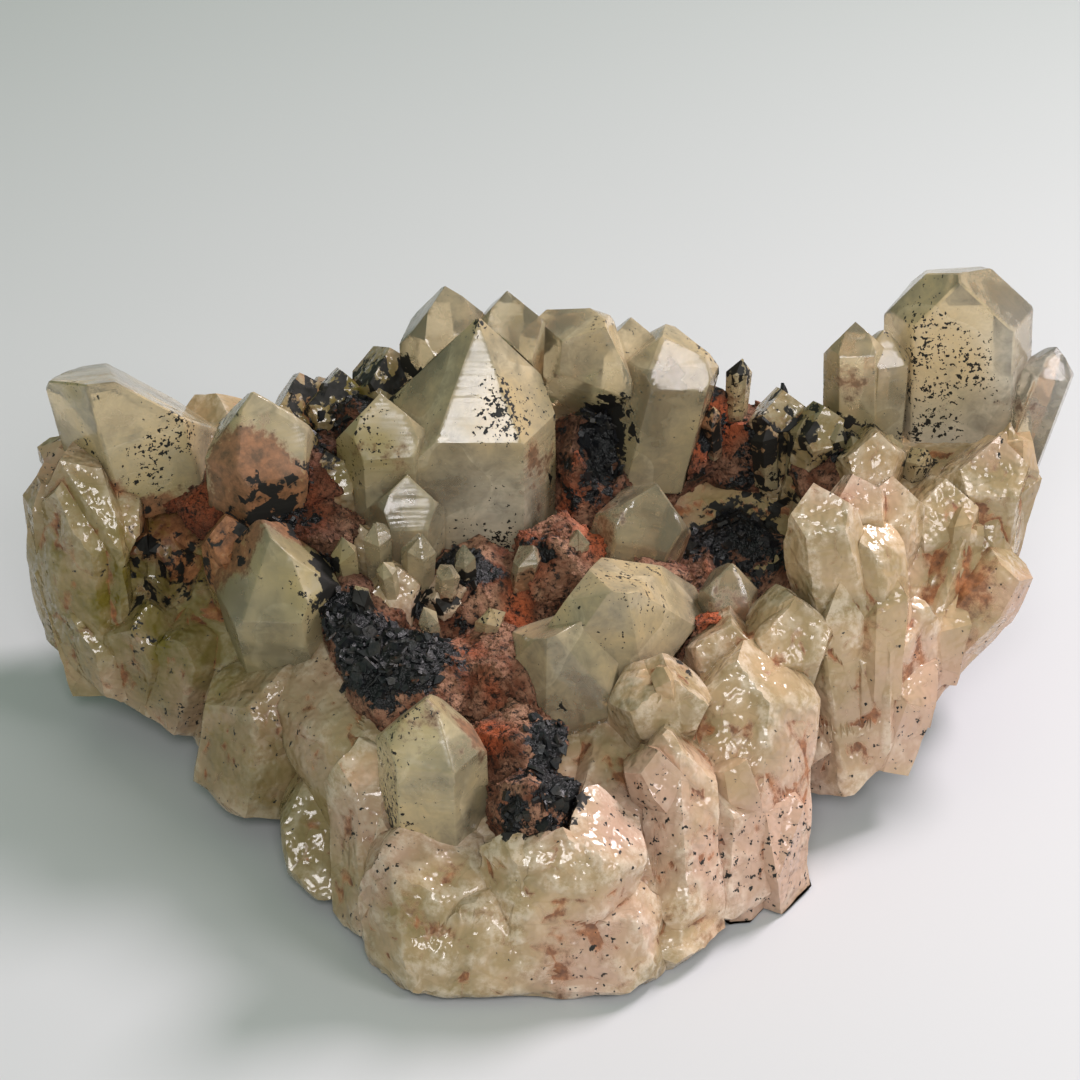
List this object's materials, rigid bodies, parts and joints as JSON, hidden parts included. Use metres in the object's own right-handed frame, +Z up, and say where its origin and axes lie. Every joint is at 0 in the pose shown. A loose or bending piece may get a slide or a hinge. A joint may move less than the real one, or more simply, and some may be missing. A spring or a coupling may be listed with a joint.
{
  "type": "citrine cluster",
  "caption": "Rough citrine quartz cluster: stubby pale points fanning out of a columnar root, with red earth and black crust between them; stands on its own flat spot.",
  "frame": {"origin": "on the surface it stands on, inside the flat spot under the root", "axes": "+Z up; +X along the cluster's long side towards the broad upright point; -Y towards the narrow front"},
  "size_m": [0.2088, 0.1347, 0.0886],
  "materials": {
    "clear_quartz": "translucent pale smoky yellow crystal faces, glossy",
    "massive_quartz": "milky broken quartz, iron-stained, waxy to satin",
    "iron_earth": "granular red-brown iron oxide with black manganese crust, matte"
  },
  "bodies": {
    "root": {"centre_points": "clear_quartz", "back_points": "clear_quartz", "left_point": "clear_quartz", "ridge_point": "clear_quartz", "left_front_point": "clear_quartz", "right_point": "clear_quartz", "small_right_points": "clear_quartz", "far_right_point": "clear_quartz", "front_point": "clear_quartz", "middle_point": "clear_quartz", "hollow_point": "clear_quartz", "small_hollow_point": "clear_quartz", "quartz_root": "massive_quartz", "left_earth": "iron_earth", "front_earth": "iron_earth", "right_earth": "iron_earth"}
  },
  "joints": []
}
